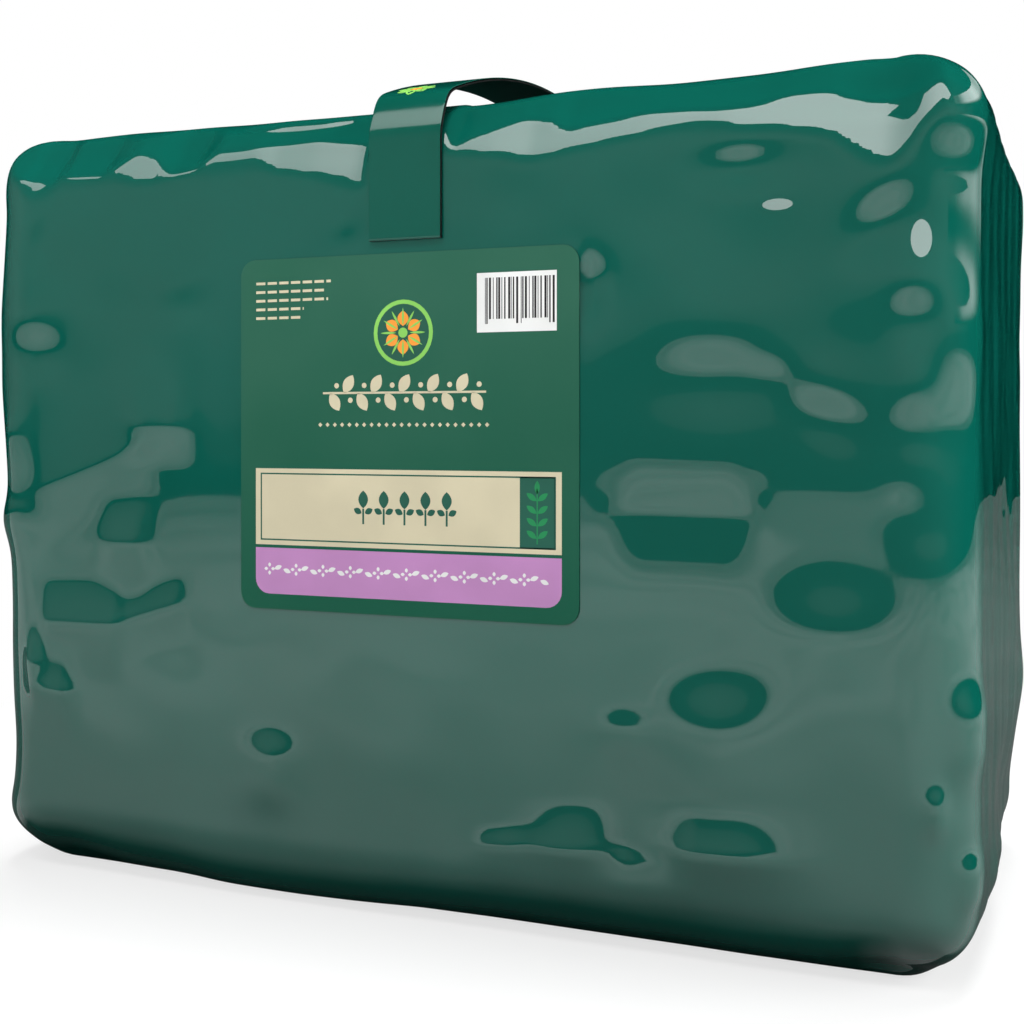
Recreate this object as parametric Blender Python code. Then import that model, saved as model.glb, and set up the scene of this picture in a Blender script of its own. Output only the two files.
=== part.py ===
"""Compressed hay bale in a plastic wrapper, with a carrying strap and a label.

Metres, +Z up. The origin is at the bottom centre and the labelled face looks along -Y.
The bale is pressed to an upright block with rounded edges. Its wrapper follows the hay,
so the block carries shallow dents, and it stays flat where the label and the strap are
fixed and where it stands.
"""
import math

import bmesh
import bpy
import numpy as np

# Driving dimensions of the bale
LENGTH = 0.512
DEPTH = 0.286
HEIGHT = 0.391
EDGE_RADIUS = 0.034
EDGE_TAPER = 0.003      # the edges are this much sharper at the right, and at the top
STANDING_DEPTH = 0.0012 # skin lower than this is pressed flat where the bale stands

# Label, a thin plate on the front
LABEL_WIDTH = 0.178
LABEL_HEIGHT = 0.171
LABEL_CENTRE_X = -0.002
LABEL_CENTRE_Z = 0.232
LABEL_THICKNESS = 0.0004
LABEL_CORNER = 0.008

# Strap, two layers that run from the front over the top to the back
STRAP_WIDTH = 0.038
STRAP_TAIL_END = 0.3235     # height of both cut ends
STRAP_SPRING = 0.378        # height where the strap leaves the straight tails
STRAP_RISE = 0.0405         # from there to the underside of the arch
STRAP_POWER = 2.2           # squareness of the arch
BACKING_THICKNESS = 0.0012
FACE_THICKNESS = 0.0005

GAP = 0.0003                # between touching pieces
CELLS = 24                  # faces along each edge of the block
ARCH_STEPS = 36

FRONT = -DEPTH / 2
RIGHT = LENGTH / 2

# Slow unevenness of the whole block: centre, reach along X, Y, Z, and outward push
SWELLS = [
    ((0.085, -0.080, HEIGHT), (0.035, 0.090, 0.040), 0.0018),
    ((0.215, -0.060, HEIGHT), (0.050, 0.100, 0.045), 0.0040),
    ((0.010, -0.090, HEIGHT), (0.030, 0.080, 0.040), -0.0012),
    ((-0.170, -0.090, HEIGHT), (0.050, 0.080, 0.030), 0.0016),
    ((-0.242, -0.130, 0.382), (0.018, 0.060, 0.018), 0.0044),
    ((0.250, -0.110, 0.372), (0.025, 0.070, 0.022), 0.0030),
    ((RIGHT, 0.110, 0.355), (0.030, 0.060, 0.028), 0.0014),
    ((-RIGHT, -0.100, 0.275), (0.040, 0.080, 0.070), 0.0058),
    ((-RIGHT, -0.110, 0.185), (0.030, 0.050, 0.013), 0.0044),
    ((-RIGHT, -0.100, 0.060), (0.040, 0.080, 0.028), -0.0016),
    ((-0.250, -0.110, 0.026), (0.025, 0.060, 0.012), 0.0030),
    ((-0.205, -0.120, 0.002), (0.022, 0.060, 0.018), -0.0026),
    ((-0.075, -0.125, 0.004), (0.075, 0.040, 0.025), 0.0042),
    ((RIGHT, 0.080, 0.035), (0.050, 0.110, 0.030), -0.0062),
    ((RIGHT, 0.110, 0.095), (0.030, 0.060, 0.020), 0.0020),
    ((RIGHT, -0.020, 0.026), (0.030, 0.060, 0.018), 0.0030),
    ((0.222, -0.125, 0.002), (0.020, 0.060, 0.022), -0.0036),
]

# Dents of the front: place along X and up Z, reach along X and Z, and depth
DENTS = [
    (0.134, 0.199, 0.031, 0.019, 0.0015),
    (0.150, 0.2525, 0.034, 0.017, 0.0022),
    (0.190, 0.231, 0.018, 0.015, 0.0018),
    (0.246, 0.232, 0.024, 0.028, 0.0046),
    (0.198, 0.179, 0.028, 0.025, 0.0025),
    (0.243, 0.201, 0.017, 0.020, 0.0024),
    (0.154, 0.131, 0.026, 0.020, 0.0032),
    (0.253, 0.131, 0.012, 0.016, 0.0030),
    (0.078, 0.072, 0.022, 0.013, 0.0036),
    (0.117, 0.055, 0.016, 0.010, 0.0024),
    (0.157, 0.068, 0.028, 0.010, 0.0030),
    (-0.074, 0.087, 0.014, 0.010, 0.0020),
    (-0.175, 0.157, 0.034, 0.017, 0.0021),
    (-0.209, 0.124, 0.017, 0.016, 0.0024),
    (-0.218, 0.270, 0.021, 0.017, 0.0030),
    (-0.140, 0.212, 0.026, 0.018, 0.0018),
    (0.166, 0.341, 0.016, 0.010, 0.0026),
    (0.219, 0.315, 0.019, 0.017, 0.0038),
    (0.245, 0.336, 0.018, 0.018, 0.0052),
]
DENT_REACH_Y = 0.040


def clear_scene():
    """Remove every object that the scene starts with."""
    for old in list(bpy.data.objects):
        bpy.data.objects.remove(old, do_unlink=True)


def make_material(name, colour, roughness):
    """Principled plastic of one colour."""
    material = bpy.data.materials.new(name)
    material.use_nodes = True
    shader = material.node_tree.nodes["Principled BSDF"]
    shader.inputs["Base Color"].default_value = (*colour, 1.0)
    shader.inputs["Roughness"].default_value = roughness
    shader.inputs["Metallic"].default_value = 0.0
    return material


def smooth_step(value):
    """Ease from 0 to 1 as the value goes from 0 to 1, with level ends."""
    value = np.clip(value, 0.0, 1.0)
    return value * value * (3.0 - 2.0 * value)


def distance_outside(points, width, low, high, centre=0.0):
    """How far each point lies outside an upright rectangle, seen along Y."""
    across = np.maximum(np.abs(points[:, 0] - centre) - width / 2, 0.0)
    below = np.maximum(low - points[:, 2], 0.0)
    above = np.maximum(points[:, 2] - high, 0.0)
    return np.hypot(across, below + above)


def flat_areas(points):
    """Factor that is 0 under the label and under the strap's tails, and 1 away from them."""
    low = LABEL_CENTRE_Z - LABEL_HEIGHT / 2
    high = LABEL_CENTRE_Z + LABEL_HEIGHT / 2
    label = distance_outside(points, LABEL_WIDTH, low, high, LABEL_CENTRE_X)
    tail = distance_outside(points, STRAP_WIDTH, STRAP_TAIL_END, STRAP_SPRING)
    tails_free = smooth_step(tail / 0.010)
    label_free = smooth_step(label / 0.012)
    return tails_free * np.where(points[:, 1] < 0.0, label_free, 1.0)


def bell(points, centre, reach):
    """Gaussian hill of height 1 about a centre, with its own reach along each axis."""
    away = (points - np.array(centre)) / np.array(reach)
    return np.exp(-(away * away).sum(axis=1))


def block_surface(cube_points):
    """Carry points of a cube from -1 to 1 onto the bale.

    Each point is split into the nearest point of an inner box and an outward direction.
    The inner box is smaller by the edge radius, so the result is a rounded block. It is
    then pushed along that direction by the swells and dents. Its weight presses the
    lowest skin onto one level, where the bale stands.
    """
    spread = 0.6 * cube_points + 0.4 * np.sin(cube_points * math.pi / 2)
    half = np.array([LENGTH, DEPTH, HEIGHT]) / 2
    radius = EDGE_RADIUS - EDGE_TAPER * (spread[:, 0] + spread[:, 2])
    inner_half = half - radius[:, None]
    inner = np.clip(spread * half, -inner_half, inner_half)
    outward = spread * half - inner
    outward /= np.linalg.norm(outward, axis=1, keepdims=True)
    points = inner + outward * radius[:, None]
    points[:, 2] += half[2]

    push = np.zeros(len(points))
    for centre, reach, amount in SWELLS:
        push += amount * bell(points, centre, reach)
    for x, z, reach_x, reach_z, depth in DENTS:
        push -= depth * bell(points, (x, FRONT, z), (reach_x, DENT_REACH_Y, reach_z))
    underside = smooth_step((-outward[:, 2] - 0.80) / 0.19)
    push *= flat_areas(points) * (1.0 - underside)
    points += outward * push[:, None]
    points[points[:, 2] < STANDING_DEPTH, 2] = 0.0
    return points


def make_bale(collection, material):
    """The pressed block: a subdivided cube whose points are carried onto the surface."""
    mesh = bpy.data.meshes.new("wrapped_bale")
    shape = bmesh.new()
    bmesh.ops.create_cube(shape, size=2.0)
    bmesh.ops.subdivide_edges(shape, edges=shape.edges[:], cuts=CELLS - 1, use_grid_fill=True)
    shape.to_mesh(mesh)
    shape.free()
    corners = np.empty(len(mesh.vertices) * 3)
    mesh.vertices.foreach_get("co", corners)
    points = block_surface(corners.reshape(-1, 3))
    mesh.vertices.foreach_set("co", points.ravel())
    mesh.shade_smooth()
    mesh.materials.append(material)
    bale = bpy.data.objects.new("wrapped_bale", mesh)
    collection.objects.link(bale)


def make_label(collection, material):
    """The label: a thin upright plate with its four corners rounded."""
    mesh = bpy.data.meshes.new("front_label")
    shape = bmesh.new()
    bmesh.ops.create_cube(shape, size=1.0)
    size = (LABEL_WIDTH, LABEL_THICKNESS, LABEL_HEIGHT)
    bmesh.ops.scale(shape, vec=size, verts=shape.verts)
    through = [edge for edge in shape.edges
               if abs(edge.verts[0].co.y - edge.verts[1].co.y) > LABEL_THICKNESS / 2]
    bmesh.ops.bevel(shape, geom=through, offset=LABEL_CORNER, segments=6,
                    profile=0.5, affect="EDGES")
    shape.to_mesh(mesh)
    shape.free()
    mesh.materials.append(material)
    label = bpy.data.objects.new("front_label", mesh)
    label.location = (LABEL_CENTRE_X, FRONT - GAP - LABEL_THICKNESS / 2, LABEL_CENTRE_Z)
    collection.objects.link(label)


def strap_line(offset):
    """Side view of the strap at a distance off the bale, as (y, z) from front to back.

    Two straight tails joined by a superellipse arch.
    """
    turn = np.linspace(-math.pi / 2, math.pi / 2, ARCH_STEPS + 1)
    flat = 2.0 / STRAP_POWER
    sine, cosine = np.sin(turn), np.clip(np.cos(turn), 0.0, 1.0)
    y = (DEPTH / 2 + offset) * np.sign(sine) * np.abs(sine) ** flat
    z = STRAP_SPRING + (STRAP_RISE + offset) * cosine ** flat
    y = np.concatenate(([y[0]], y, [y[-1]]))
    z = np.concatenate(([STRAP_TAIL_END], z, [STRAP_TAIL_END]))
    return np.stack([y, z], axis=1)


def make_strap_layer(collection, name, material, offset, thickness):
    """One layer of the strap: its side outline, extruded to the strap's width."""
    inner = strap_line(offset)
    outer = strap_line(offset + thickness)
    outline = np.concatenate([outer, inner[::-1]])
    curve = bpy.data.curves.new(name, "CURVE")
    curve.dimensions = "2D"
    curve.fill_mode = "BOTH"
    curve.extrude = STRAP_WIDTH / 2
    spline = curve.splines.new("POLY")
    spline.points.add(len(outline) - 1)
    for point, (y, z) in zip(spline.points, outline):
        point.co = (y, z, 0.0, 1.0)
    spline.use_cyclic_u = True
    curve.materials.append(material)
    layer = bpy.data.objects.new(name, curve)
    layer.rotation_euler = (math.pi / 2, 0.0, math.pi / 2)
    collection.objects.link(layer)


def main():
    clear_scene()
    bale_parts = bpy.data.collections.new("hay_bale")
    bpy.context.scene.collection.children.link(bale_parts)
    film = make_material("green_film", (0.001, 0.078, 0.052), 0.12)
    paper = make_material("green_label", (0.018, 0.120, 0.075), 0.45)
    strap_green = make_material("green_strap", (0.010, 0.102, 0.070), 0.22)
    strap_black = make_material("black_webbing", (0.006, 0.006, 0.006), 0.60)
    make_bale(bale_parts, film)
    make_label(bale_parts, paper)
    make_strap_layer(bale_parts, "strap_backing", strap_black, GAP, BACKING_THICKNESS)
    make_strap_layer(bale_parts, "strap_face", strap_green,
                     2 * GAP + BACKING_THICKNESS, FACE_THICKNESS)


main()
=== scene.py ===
"""Looks of a compressed hay bale: glossy green wrapper, printed label and carrying strap.

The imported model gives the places. The wrapper, the label and the strap are new surfaces,
worked out as whole arrays, and each one stands in for the plain solid it was packed as.
Metres, +Z up, the labelled face looks along -Y.
"""
import math

import bpy
import numpy as np
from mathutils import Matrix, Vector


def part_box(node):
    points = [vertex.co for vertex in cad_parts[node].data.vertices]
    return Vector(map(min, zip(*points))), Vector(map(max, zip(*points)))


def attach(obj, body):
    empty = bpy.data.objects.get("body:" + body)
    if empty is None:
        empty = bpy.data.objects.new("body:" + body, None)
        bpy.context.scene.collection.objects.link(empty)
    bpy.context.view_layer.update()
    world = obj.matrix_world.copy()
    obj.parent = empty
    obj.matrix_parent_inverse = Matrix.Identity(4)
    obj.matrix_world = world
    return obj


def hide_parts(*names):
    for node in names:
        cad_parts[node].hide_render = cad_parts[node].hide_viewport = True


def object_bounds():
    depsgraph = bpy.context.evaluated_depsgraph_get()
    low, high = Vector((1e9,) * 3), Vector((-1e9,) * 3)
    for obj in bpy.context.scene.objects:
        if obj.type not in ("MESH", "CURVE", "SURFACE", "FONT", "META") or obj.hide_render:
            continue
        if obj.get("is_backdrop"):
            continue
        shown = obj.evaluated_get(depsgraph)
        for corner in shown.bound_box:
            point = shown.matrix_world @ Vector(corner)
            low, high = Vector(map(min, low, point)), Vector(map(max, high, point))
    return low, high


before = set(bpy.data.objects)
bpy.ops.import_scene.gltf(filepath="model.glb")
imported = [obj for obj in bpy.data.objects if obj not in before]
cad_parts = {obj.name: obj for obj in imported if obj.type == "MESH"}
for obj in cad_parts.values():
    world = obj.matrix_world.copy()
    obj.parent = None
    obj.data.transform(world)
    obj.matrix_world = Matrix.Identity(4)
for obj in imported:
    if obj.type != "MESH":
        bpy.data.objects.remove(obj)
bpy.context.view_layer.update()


# ------------------------------------------------------------------------ Wrapped bale
# Lucerne hay pressed to an upright brick and sealed in stretched green film. The film
# clings to the hay, so it carries the hay's lumps and hollows, and it lies flat under the
# label and under the ends of the strap. One closed skin, standing on its underside.
BALE = np.array([0.512, 0.286, 0.391])
BALE_CELLS = (180, 72, 138)
EDGE_RADIUS = 0.034
EDGE_TAPER = 0.003
FRONT = -BALE[1] / 2
RIGHT = BALE[0] / 2
TOP = BALE[2]

# Slow unevenness of the whole block: centre, reach along X, Y, Z, and outward push
SWELLS = [
    ((0.085, -0.080, TOP), (0.035, 0.090, 0.040), 0.0018),
    ((0.215, -0.060, TOP), (0.050, 0.100, 0.045), 0.0040),
    ((0.010, -0.090, TOP), (0.030, 0.080, 0.040), -0.0012),
    ((-0.170, -0.090, TOP), (0.050, 0.080, 0.030), 0.0016),
    ((-0.242, -0.130, 0.382), (0.018, 0.060, 0.018), 0.0044),
    ((0.250, -0.110, 0.372), (0.025, 0.070, 0.022), 0.0030),
    ((RIGHT, 0.110, 0.355), (0.030, 0.060, 0.028), 0.0014),
    ((-RIGHT, -0.100, 0.275), (0.040, 0.080, 0.070), 0.0058),
    ((-RIGHT, -0.110, 0.185), (0.030, 0.050, 0.013), 0.0044),
    ((-RIGHT, -0.100, 0.060), (0.040, 0.080, 0.028), -0.0016),
    ((-0.250, -0.110, 0.026), (0.025, 0.060, 0.012), 0.0030),
    ((-0.205, -0.120, 0.002), (0.022, 0.060, 0.018), -0.0026),
    ((-0.075, -0.125, 0.004), (0.075, 0.040, 0.025), 0.0042),
    ((RIGHT, 0.080, 0.035), (0.050, 0.110, 0.030), -0.0062),
    ((RIGHT, 0.110, 0.095), (0.030, 0.060, 0.020), 0.0020),
    ((RIGHT, -0.020, 0.026), (0.030, 0.060, 0.018), 0.0030),
    ((0.222, -0.125, 0.002), (0.020, 0.060, 0.022), -0.0036),
]

# The lists below name a face, then a place across it and up it.
# Spots where the film leans out over its foot: reach across and up, slope, slant
SPOTS = [
    ("front", -0.2179, 0.2843, 0.0172, 0.0170, 0.170, 0.0),
    ("front", 0.1600, 0.3530, 0.0165, 0.0100, 0.250, 0.0),
    ("front", 0.2475, 0.3525, 0.0080, 0.0125, 0.180, 0.0),
    ("front", 0.2200, 0.3285, 0.0112, 0.0165, 0.220, 0.3),
    ("front", 0.1500, 0.2670, 0.0340, 0.0200, 0.115, 0.0),
    ("front", 0.1740, 0.2610, 0.0100, 0.0090, 0.045, 0.0),
    ("front", 0.1959, 0.2461, 0.0145, 0.0148, 0.115, -0.4),
    ("front", 0.2490, 0.2530, 0.0095, 0.0300, 0.170, 0.0),
    ("front", 0.2345, 0.2420, 0.0090, 0.0140, 0.120, 0.0),
    ("front", -0.1272, 0.3015, 0.0120, 0.0092, 0.064, 0.0),
    ("front", -0.0320, 0.3282, 0.0072, 0.0082, 0.070, 0.0),
    ("front", -0.2189, 0.3388, 0.0075, 0.0150, 0.090, 0.0),
    ("front", 0.2020, 0.2040, 0.0250, 0.0120, 0.010, 0.0),
    ("front", 0.1690, 0.2030, 0.0045, 0.0100, -0.022, 0.0),
    ("front", 0.0990, 0.2010, 0.0070, 0.0100, -0.016, 0.0),
    ("front", 0.2290, 0.2090, 0.0090, 0.0130, 0.024, 0.0),
    ("front", 0.2335, 0.2880, 0.0100, 0.0130, 0.190, 0.0),
]

# Hollows and, with a minus sign, lumps: reach across, above and below, depth
HOLLOWS = [
    ("front", 0.0875, 0.3000, 0.0115, 0.0110, 0.0180, 0.0034),
    ("front", -0.2156, 0.3690, 0.0090, 0.0120, 0.0090, 0.0030),
    ("front", -0.2330, 0.2330, 0.0080, 0.0120, 0.0600, -0.0030),
    ("front", 0.2000, 0.1370, 0.0250, 0.0285, 0.0500, -0.0027),
    ("front", 0.2405, 0.1660, 0.0135, 0.0225, 0.0300, -0.0018),
    ("front", 0.1542, 0.0950, 0.0270, 0.0270, 0.0500, -0.0040),
    ("front", 0.1065, 0.1000, 0.0125, 0.0085, 0.0120, -0.0014),
    ("front", 0.2531, 0.1080, 0.0070, 0.0180, 0.0200, -0.0056),
    ("front", 0.2406, 0.0770, 0.0046, 0.0090, 0.0100, -0.0021),
    ("front", 0.2539, 0.0460, 0.0055, 0.0115, 0.0120, -0.0044),
    ("front", -0.0728, 0.0690, 0.0145, 0.0145, 0.0200, -0.0029),
]

# Sharp-crested creases: half length, rise, height, reach above and below, fade at the ends
CREASES = [
    ("front", 0.1345, 0.1973, 0.018, 0.00, -0.0009, 0.0270, 0.0330, 0.0125),
    ("front", 0.0800, 0.0455, 0.000, 0.04, 0.0049, 0.0235, 0.030, 0.0235),
    ("front", 0.0480, 0.0430, 0.004, 0.10, 0.0016, 0.011, 0.020, 0.010),
    ("front", 0.1160, 0.0500, 0.007, 0.00, -0.0044, 0.050, 0.0155, 0.0110),
    ("front", 0.1460, 0.0510, 0.009, 0.03, 0.0052, 0.0225, 0.028, 0.030),
    ("front", -0.1800, 0.2160, 0.026, 0.38, 0.0013, 0.050, 0.030, 0.011),
    ("front", -0.1405, 0.2370, 0.008, -0.05, 0.0017, 0.040, 0.021, 0.012),
    ("front", -0.1617, 0.1759, 0.006, 0.00, 0.0018, 0.0240, 0.030, 0.009),
    ("front", -0.1890, 0.1330, 0.020, 0.03, 0.0025, 0.0235, 0.030, 0.0065),
    ("front", -0.1440, 0.1405, 0.012, 0.30, 0.0013, 0.0150, 0.020, 0.008),
    ("front", -0.2080, 0.0975, 0.007, -0.10, 0.0040, 0.0270, 0.030, 0.008),
    ("front", -0.2200, 0.1120, 0.002, 0.00, 0.0028, 0.0200, 0.020, 0.004),
]

# Dents of the other sides: half width of the dented part, its lowest and highest, how
# many dents, and their depth. Fractions of golden-ratio steps spread them evenly.
SIDE_DENTS = [
    ("back", 0.225, 0.045, 0.350, 22, 0.0025),
    ("right", 0.085, 0.060, 0.330, 7, 0.0013),
    ("left", 0.085, 0.060, 0.330, 8, 0.0020),
    ("top", 0.200, 0.020, 0.100, 8, 0.0022),
]
for face, wide, lowest, highest, count, depth in SIDE_DENTS:
    steps = np.arange(count) + (3.0 if face == "back" else 1.0)
    for across, up, turn in zip(wide * (2.0 * (steps * 0.618 % 1.0) - 1.0),
                                lowest + (highest - lowest) * (steps * 0.755 % 1.0),
                                steps * 0.569 % 1.0):
        if face == "right":  # kept off the front edge
            across = 0.025 + 0.6 * across
        if turn < 0.35:
            CREASES.append((face, across, up, 0.012 + 0.012 * turn, 0.5 * turn - 0.15, -depth,
                            0.026, 0.034, 0.014))
        else:
            HOLLOWS.append((face, across, up, 0.014 + 0.020 * turn, 0.014 + 0.012 * turn,
                            0.022, depth if turn < 0.6 else -depth))

# Slope along the top front edge: X, the heights of its foot and of its head. The film
# leans back by the first angle from foot to head and by the second above the head.
SHOULDER_LEAN = (20.5, 38.0)
SHOULDER = [
    (-0.256, 0.366, 0.366), (-0.230, 0.366, 0.366), (-0.225, 0.3605, 0.3666),
    (-0.216, 0.3600, 0.3650), (-0.208, 0.3610, 0.3622), (-0.203, 0.3655, 0.3655),
    (-0.176, 0.3645, 0.3645), (-0.1686, 0.3650, 0.3700), (-0.1580, 0.3620, 0.3775),
    (-0.1450, 0.3610, 0.3740), (-0.1340, 0.3625, 0.3630), (-0.118, 0.3645, 0.3645),
    (-0.1072, 0.3690, 0.3720), (-0.0872, 0.3659, 0.3739), (-0.0728, 0.3600, 0.3755),
    (-0.0519, 0.3565, 0.3768), (-0.038, 0.3525, 0.3755), (-0.0293, 0.3500, 0.3750),
    (-0.0211, 0.3505, 0.3750), (0.000, 0.3580, 0.3720), (0.0195, 0.3620, 0.3640),
    (0.0309, 0.3618, 0.3706), (0.0436, 0.3610, 0.3742), (0.0562, 0.3585, 0.3783),
    (0.0623, 0.3573, 0.3785), (0.0725, 0.3590, 0.3770), (0.0790, 0.3601, 0.3716),
    (0.1173, 0.3655, 0.3755), (0.1529, 0.3681, 0.3734), (0.1680, 0.3660, 0.3745),
    (0.1781, 0.3640, 0.3782), (0.1926, 0.3605, 0.3799), (0.1990, 0.3593, 0.3795),
    (0.2060, 0.3530, 0.3780), (0.2120, 0.3494, 0.3770), (0.2210, 0.3490, 0.3755),
    (0.2265, 0.3520, 0.3760), (0.2330, 0.3575, 0.3765), (0.2380, 0.3625, 0.3770),
    (0.2440, 0.3655, 0.3800), (0.256, 0.366, 0.370),
]

# Faint waves over the whole film: height, radians per metre along X, Y and Z, and start
WAVES = [
    (0.000120, 70.0, 35.0, 95.0, 0.4),
    (0.000108, -95.0, 35.0, 60.0, 1.7),
    (0.000072, 140.0, 35.0, 35.0, 2.9),
    (0.000072, 30.0, 35.0, 150.0, 0.8),
]
# They are calm where the gloss mirrors the horizon: middle, half height and fade
CALM = (0.195, 0.035, 0.05)
PLEAT_HEIGHT = 0.00024


def cube_lattice(cells):
    """Six square grids on the faces of a cube, sharing their edge points.

    Every point is a triple of whole numbers, with one of the three at 0 or at the number
    of cells, so equal triples are one point. Returns points from -1 to 1 and quads.
    """
    cells = np.array(cells)
    triples, quads, count = [], [], 0
    for axis in range(3):
        across, up = [other for other in range(3) if other != axis]
        for side in (0, 1):
            i, j = np.meshgrid(np.arange(cells[across] + 1), np.arange(cells[up] + 1),
                               indexing="ij")
            triple = np.zeros(i.shape + (3,), dtype=int)
            triple[..., across] = i
            triple[..., up] = j
            triple[..., axis] = side * cells[axis]
            index = np.arange(i.size).reshape(i.shape) + count
            quad = np.stack([index[:-1, :-1], index[1:, :-1], index[1:, 1:], index[:-1, 1:]],
                            axis=-1).reshape(-1, 4)
            turns_out = (side == 1) != (axis == 1)
            quads.append(quad if turns_out else quad[:, ::-1])
            triples.append(triple.reshape(-1, 3))
            count += i.size
    points, place = np.unique(np.concatenate(triples), axis=0, return_inverse=True)
    return points / cells * 2.0 - 1.0, place.reshape(-1)[np.concatenate(quads)]


def smooth_step(value):
    """3v^2 - 2v^3 on the value held between 0 and 1: an ease with level ends."""
    value = np.clip(value, 0.0, 1.0)
    return value * value * (3.0 - 2.0 * value)


def bell(points, centre, reach):
    """exp of minus the squared distance from the centre, counted in reaches along X, Y, Z."""
    away = (points - np.array(centre)) / np.array(reach)
    return np.exp(-(away * away).sum(axis=1))


def on_face(points, face):
    """Place across and up a face, and exp(-(depth behind the face / 40 mm)^2)."""
    x, y, z = points.T
    across, up, depth = {
        "front": (x, z, y - FRONT),
        "back": (-x, z, -y - FRONT),
        "right": (y, z, x - RIGHT),
        "left": (-y, z, -x - RIGHT),
        "top": (x, y, z - TOP),
    }[face]
    return across, up, np.exp(-(depth / 0.040) ** 2)


def clear_of(points, node, margin):
    """0 where the film lies behind a node seen along Y, easing to 1 a margin away from it."""
    low, high = (np.array(corner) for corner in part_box(node))
    off = np.maximum(np.maximum(low - points, points - high), 0.0)
    return smooth_step(np.hypot(off[:, 0], off[:, 2]) / margin)


def lumps(points):
    """Outward push of the listed marks.

    Spot: slope * up * exp(-across^2 - up^2). Hollow: -depth * exp(-across^2 - up^power),
    with power 3 for tall lumps low on a face and 2 for the rest. Crease:
    height * (1 - off)^1.5 * exp(-past^2), off counted from the crest and past from its end.
    Distances are counted in reaches.
    """
    push = np.zeros(len(points))
    for face, x, z, reach_x, reach_z, slope, slant in SPOTS:
        across, up, near = on_face(points, face)
        up = up - z
        across = across - x - slant * up
        push += near * slope * up * np.exp(-(across / reach_x) ** 2 - (up / reach_z) ** 2)
    for face, x, z, reach_x, above, below, depth in HOLLOWS:
        across, up, near = on_face(points, face)
        up = np.abs(up - z) / np.where(up > z, above, below)
        tall_and_low = depth < -0.0016 and z < 0.17
        power = 3.0 if tall_and_low else 2.0
        push -= near * depth * np.exp(-((across - x) / reach_x) ** 2 - up ** power)
    for face, x, z, half, rise, height, above, below, fade in CREASES:
        across, up, near = on_face(points, face)
        across = across - x
        up = up - z - rise * across
        off = (np.hypot(up, 0.0012) - 0.0012) / np.where(up > 0.0, above, below)
        past = np.maximum(np.abs(across) - half, 0.0) / fade
        push += near * height * np.clip(1.0 - off, 0.0, 1.0) ** 1.5 * np.exp(-past ** 2)
    return push


def shoulder_cut(points):
    """How far the rounded top front edge stands before the two planes of the shoulder.

    Foot and head are smoothed along X. Each kink is eased: (d + sqrt(d^2 + e^2)) / 2 of
    the distance d past it. The foot's ease starts the slope late, so it is set lower.
    """
    x, y, z = points.T
    lean, lean_above = np.tan(np.radians(SHOULDER_LEAN))
    steps = np.arange(-0.30, 0.30, 0.0005)
    blur = np.exp(-np.linspace(-2.0, 2.0, 15) ** 2)
    across, foot, head = np.array(SHOULDER).T
    foot, head = (np.interp(x, steps, np.convolve(
        np.pad(np.interp(steps, across, line), 7, mode="edge"), blur / blur.sum(),
        mode="valid")) for line in (foot, head))
    above = (z - head + np.hypot(z - head, 0.0006)) / 2
    foot = foot - 0.0012
    ahead = lean * (z - foot) + (lean_above - lean) * above - (y - FRONT)
    ease = 0.0008
    cut = (ahead + np.hypot(ahead, ease) - ease) / 2
    return np.where(y < 0.0, np.maximum(cut, 0.0), 0.0)


def film_surface(cube_points):
    """Carry points of a cube from -1 to 1 onto the wrapped bale.

    A point is split into the nearest point of an inner box, smaller by the edge radius,
    and an outward direction. Inner point plus radius times direction is a rounded block.
    Swells, lumps, waves and the pleats of both ends then push it along the direction.
    """
    half = BALE / 2
    radius = EDGE_RADIUS - EDGE_TAPER * (cube_points[:, 0] + cube_points[:, 2])
    inner_half = half - radius[:, None]
    inner = np.clip(cube_points * half, -inner_half, inner_half)
    outward = cube_points * half - inner
    outward /= np.linalg.norm(outward, axis=1, keepdims=True)
    points = inner + outward * radius[:, None]
    points[:, 2] += half[2]

    push = lumps(points)
    for centre, reach, amount in SWELLS:
        push += amount * bell(points, centre, reach)
    # The waves fade out beside the label and in the calm band
    at_front = points[:, 1] < 0.0
    quiet = np.where(at_front, clear_of(points, "front_label", 0.030), 1.0)
    middle, half_height, fade = CALM
    off = np.abs(points[:, 2] - middle) - half_height
    quiet *= 0.08 + 0.92 * smooth_step(off / fade)
    for height, *turns, start in WAVES:
        push += quiet * height * np.sin(points @ np.array(turns) + start)
    # Upright pleats, which drift sideways on their way up both ends
    at_end = smooth_step((np.abs(outward[:, 0]) - 0.45) / 0.45)
    drift = 0.010 * np.sin(21.0 * points[:, 2] + 1.0) + 0.004 * np.sin(55.0 * points[:, 2])
    pleat = np.sin((points[:, 1] + drift) * 150.0) + 0.4 * np.sin(points[:, 1] * 311.0 + 2.0)
    push += PLEAT_HEIGHT * at_end * pleat

    # The shoulder, measured along Y but taken off along the outward direction. Then the
    # flat places under the label, the strap and the bale itself.
    push -= 0.96 * shoulder_cut(points + outward * push[:, None])
    push *= np.where(at_front, clear_of(points, "front_label", 0.002), 1.0)
    push *= clear_of(points, "strap_backing", 0.005)
    push *= 1.0 - smooth_step((-outward[:, 2] - 0.80) / 0.19)
    points += outward * push[:, None]
    points[:, 2] = np.maximum(points[:, 2], 0.0)
    return points


def make_piece(name, points, faces, smooth=True):
    """A mesh object at the origin, from an array of points and a list of faces.

    Smooth is one flag for the whole piece or a list with one for each face.
    """
    mesh = bpy.data.meshes.new(name)
    mesh.from_pydata(points.tolist(), [], faces)
    mesh.polygons.foreach_set("use_smooth", np.full(len(mesh.polygons), smooth))
    mesh.update()
    piece = bpy.data.objects.new(name, mesh)
    bpy.context.scene.collection.objects.link(piece)
    return piece


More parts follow.
